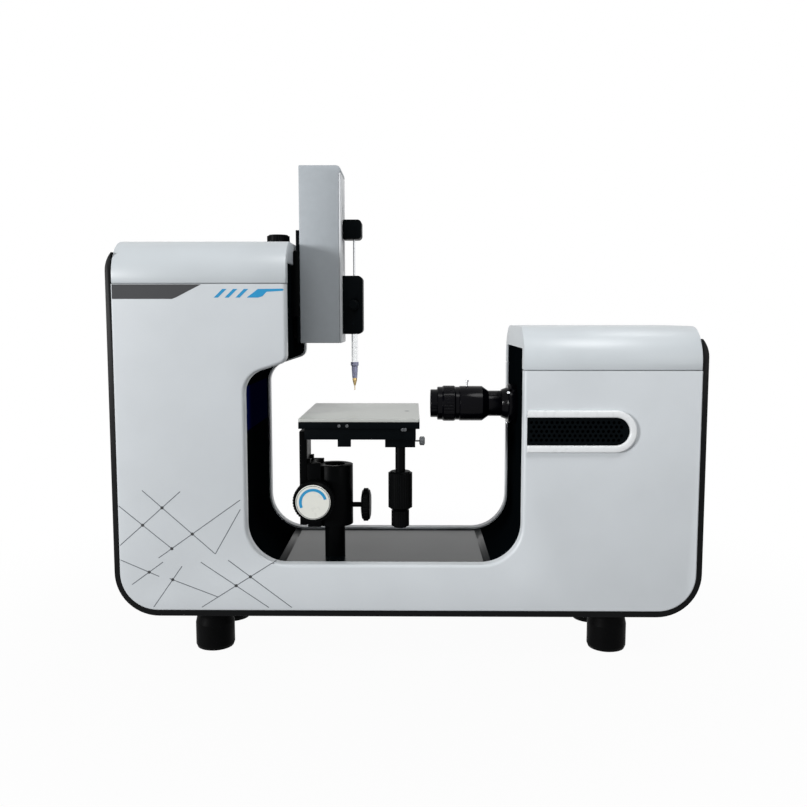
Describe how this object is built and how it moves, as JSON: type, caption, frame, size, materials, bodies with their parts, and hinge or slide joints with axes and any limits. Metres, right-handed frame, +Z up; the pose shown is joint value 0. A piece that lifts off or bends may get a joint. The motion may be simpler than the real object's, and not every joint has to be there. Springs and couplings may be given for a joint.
{
  "type": "contact angle tester",
  "caption": "U-shaped bench contact angle meter: syringe dosing column, zoom lens and three-axis sample stage on a focusing rack in an open bay.",
  "frame": {"origin": "on the bench under the middle of the body, at the bottom of the bounding box", "axes": "+X to the right along the body's length, +Y to the rear, +Z up; the front faces -Y"},
  "size_m": [0.56, 0.166, 0.474],
  "materials": {
    "shell_black": "satin powder coat",
    "liner_black": "satin powder coat",
    "panel_grey": "fine satin paint",
    "cover_grey": "fine satin paint",
    "bezel_white": "semi-gloss",
    "grille_black": "matte",
    "inner_steel": "mill finish",
    "fastener_steel": "turned",
    "foot_rubber": "matte",
    "diffuser_blue": "opal",
    "housing_aluminium": "machined",
    "black_anodised": "black anodised",
    "lens_black": "satin black anodised",
    "lens_glass": "coated",
    "supply_case": "pressed case",
    "board_green": "solder mask",
    "socket_black": "fine grain",
    "rocker_black": "semi-gloss",
    "knob_black": "fine grain",
    "column_grey": "grey anodised",
    "column_light": "satin anodised",
    "clamp_black": "matte",
    "syringe_glass": "clear",
    "hub_violet": "moulded",
    "needle_brass": "drawn",
    "cap_white": "semi-gloss",
    "table_grey": "clear anodised",
    "slide_black": "black anodised"
  },
  "bodies": {
    "frame": {"outer_wrap": "shell_black", "bottom_cover": "shell_black", "inner_liner": "liner_black", "front_panel": "panel_grey", "rear_panel": "panel_grey", "left_top_cover": "cover_grey", "right_top_cover": "cover_grey", "vent_bezels": "bezel_white", "vent_grilles": "grille_black", "base_plate": "inner_steel", "bay_support": "inner_steel", "backlight_diffuser": "diffuser_blue", "backlight_housing": "housing_aluminium", "camera_body": "black_anodised", "camera_stand": "housing_aluminium", "lens_collar": "lens_black", "lens_barrel": "lens_black", "lens_glass": "lens_glass", "power_supply": "supply_case", "control_board": "board_green", "power_inlet": "socket_black", "guide_blocks": "black_anodised", "screw_bearings": "housing_aluminium", "stage_post": "black_anodised"},
    "foot_front_left": {"foot_front_left": "foot_rubber"},
    "foot_front_right": {"foot_front_right": "foot_rubber"},
    "foot_rear_left": {"foot_rear_left": "foot_rubber"},
    "foot_rear_right": {"foot_rear_right": "foot_rubber"},
    "power_rocker": {"power_rocker": "rocker_black"},
    "zoom_ring": {"zoom_ring": "lens_black"},
    "zoom_lock_screw": {"zoom_lock_screw": "fastener_steel"},
    "lift_drive": {"lift_screw": "fastener_steel", "lift_knob": "knob_black"},
    "dosing_unit": {"lift_arm": "black_anodised", "column_rails": "slide_black", "column_shell": "column_grey", "column_face": "column_light", "pump_motor": "black_anodised", "guide_rods": "fastener_steel", "barrel_clamp": "clamp_black", "syringe_barrel": "syringe_glass", "needle_hub": "hub_violet", "needle": "needle_brass"},
    "pump_screw": {"pump_screw": "fastener_steel"},
    "pusher": {"pump_carriage": "housing_aluminium", "pusher_block": "clamp_black", "plunger": "fastener_steel"},
    "barrel_clamp_screw": {"barrel_clamp_screw": "clamp_black"},
    "post_sleeve": {"post_sleeve": "black_anodised"},
    "sleeve_clamp_knob": {"sleeve_clamp_knob": "knob_black"},
    "focus_drive": {"pinion_shaft": "fastener_steel", "focus_knobs": "knob_black", "focus_caps": "cap_white"},
    "stage_lift": {"lift_bracket": "black_anodised"},
    "y_stage": {"y_slide": "slide_black"},
    "y_drive_knob": {"y_drive_knob": "knob_black"},
    "x_drive_knob": {"x_drive_knob": "knob_black"},
    "stage_lock_screw": {"stage_lock_screw": "fastener_steel"},
    "x_stage": {"x_slide": "slide_black", "sample_table": "table_grey"}
  },
  "joints": [
    {"name": "foot_front_left_turn", "type": "hinge", "parent": "frame", "child": "foot_front_left", "pos_m": [-0.192, -0.042, 0.01], "axis": [0, 0, 1], "continuous": true},
    {"name": "foot_front_right_turn", "type": "hinge", "parent": "frame", "child": "foot_front_right", "pos_m": [0.198, -0.042, 0.01], "axis": [0, 0, 1], "continuous": true},
    {"name": "foot_rear_left_turn", "type": "hinge", "parent": "frame", "child": "foot_rear_left", "pos_m": [-0.192, 0.042, 0.01], "axis": [0, 0, 1], "continuous": true},
    {"name": "foot_rear_right_turn", "type": "hinge", "parent": "frame", "child": "foot_rear_right", "pos_m": [0.198, 0.042, 0.01], "axis": [0, 0, 1], "continuous": true},
    {"name": "power_switch", "type": "hinge", "parent": "frame", "child": "power_rocker", "pos_m": [-0.216, 0.079, 0.151], "axis": [1, 0, 0], "range_deg": [-16, 0]},
    {"name": "zoom_turn", "type": "hinge", "parent": "frame", "child": "zoom_ring", "pos_m": [0.041, 0, 0.24], "axis": [1, 0, 0], "range_deg": [-60, 60]},
    {"name": "zoom_lock", "type": "hinge", "parent": "frame", "child": "zoom_lock_screw", "pos_m": [0.0603, 0, 0.257], "axis": [0, 0, 1], "range_deg": [0, 540]},
    {"name": "dosing_lift", "type": "slide", "parent": "frame", "child": "dosing_unit", "axis": [0, 0, 1], "range_m": [-0.008, 0.04]},
    {"name": "lift_knob_turn", "type": "hinge", "parent": "frame", "child": "lift_drive", "pos_m": [-0.13, 0, 0.35], "axis": [0, 0, 1], "range_deg": [-1805, 365]},
    {"name": "plunger_travel", "type": "slide", "parent": "dosing_unit", "child": "pusher", "axis": [0, 0, 1], "range_m": [-0.034, 0.015]},
    {"name": "pump_screw_turn", "type": "hinge", "parent": "dosing_unit", "child": "pump_screw", "pos_m": [-0.0855, 0, 0.375], "axis": [0, 0, 1], "range_deg": [-1360, 3070]},
    {"name": "syringe_clamp", "type": "hinge", "parent": "dosing_unit", "child": "barrel_clamp_screw", "pos_m": [-0.054, -0.012, 0.3395], "axis": [0, -1, 0], "range_deg": [0, 540]},
    {"name": "sleeve_height", "type": "slide", "parent": "frame", "child": "post_sleeve", "axis": [0, 0, 1], "range_m": [-0.008, 0]},
    {"name": "sleeve_clamp", "type": "hinge", "parent": "post_sleeve", "child": "sleeve_clamp_knob", "pos_m": [-0.05, -0.036, 0.1426], "axis": [1, 0, 0], "range_deg": [0, 540]},
    {"name": "stage_height", "type": "slide", "parent": "post_sleeve", "child": "stage_lift", "axis": [0, 0, 1], "range_m": [-0.018, 0.01]},
    {"name": "focus_turn", "type": "hinge", "parent": "post_sleeve", "child": "focus_drive", "pos_m": [-0.09, -0.036, 0.1515], "axis": [0, 1, 0], "range_deg": [-173, 97]},
    {"name": "stage_y", "type": "slide", "parent": "stage_lift", "child": "y_stage", "axis": [0, 1, 0], "range_m": [-0.015, 0.015]},
    {"name": "y_knob_turn", "type": "hinge", "parent": "y_stage", "child": "y_drive_knob", "pos_m": [-0.007, -0.048, 0.16], "axis": [0, 0, 1], "range_deg": [-173, 173]},
    {"name": "stage_x", "type": "slide", "parent": "y_stage", "child": "x_stage", "axis": [1, 0, 0], "range_m": [-0.025, 0.008]},
    {"name": "x_knob_turn", "type": "hinge", "parent": "y_stage", "child": "x_drive_knob", "pos_m": [-0.007, -0.048, 0.132], "axis": [0, 0, 1], "range_deg": [-288, 93]},
    {"name": "stage_lock", "type": "hinge", "parent": "y_stage", "child": "stage_lock_screw", "pos_m": [0.01, -0.048, 0.208], "axis": [1, 0, 0], "range_deg": [0, 540]}
  ],
  "couplings": [
    {"joint": "lift_knob_turn", "follows": "dosing_lift", "rad_per_m": -785.4},
    {"joint": "pump_screw_turn", "follows": "plunger_travel", "rad_per_m": -1570.8},
    {"joint": "focus_turn", "follows": "stage_height", "rad_per_m": 166.67},
    {"joint": "y_knob_turn", "follows": "stage_y", "rad_per_m": 200},
    {"joint": "x_knob_turn", "follows": "stage_x", "rad_per_m": 200}
  ]
}
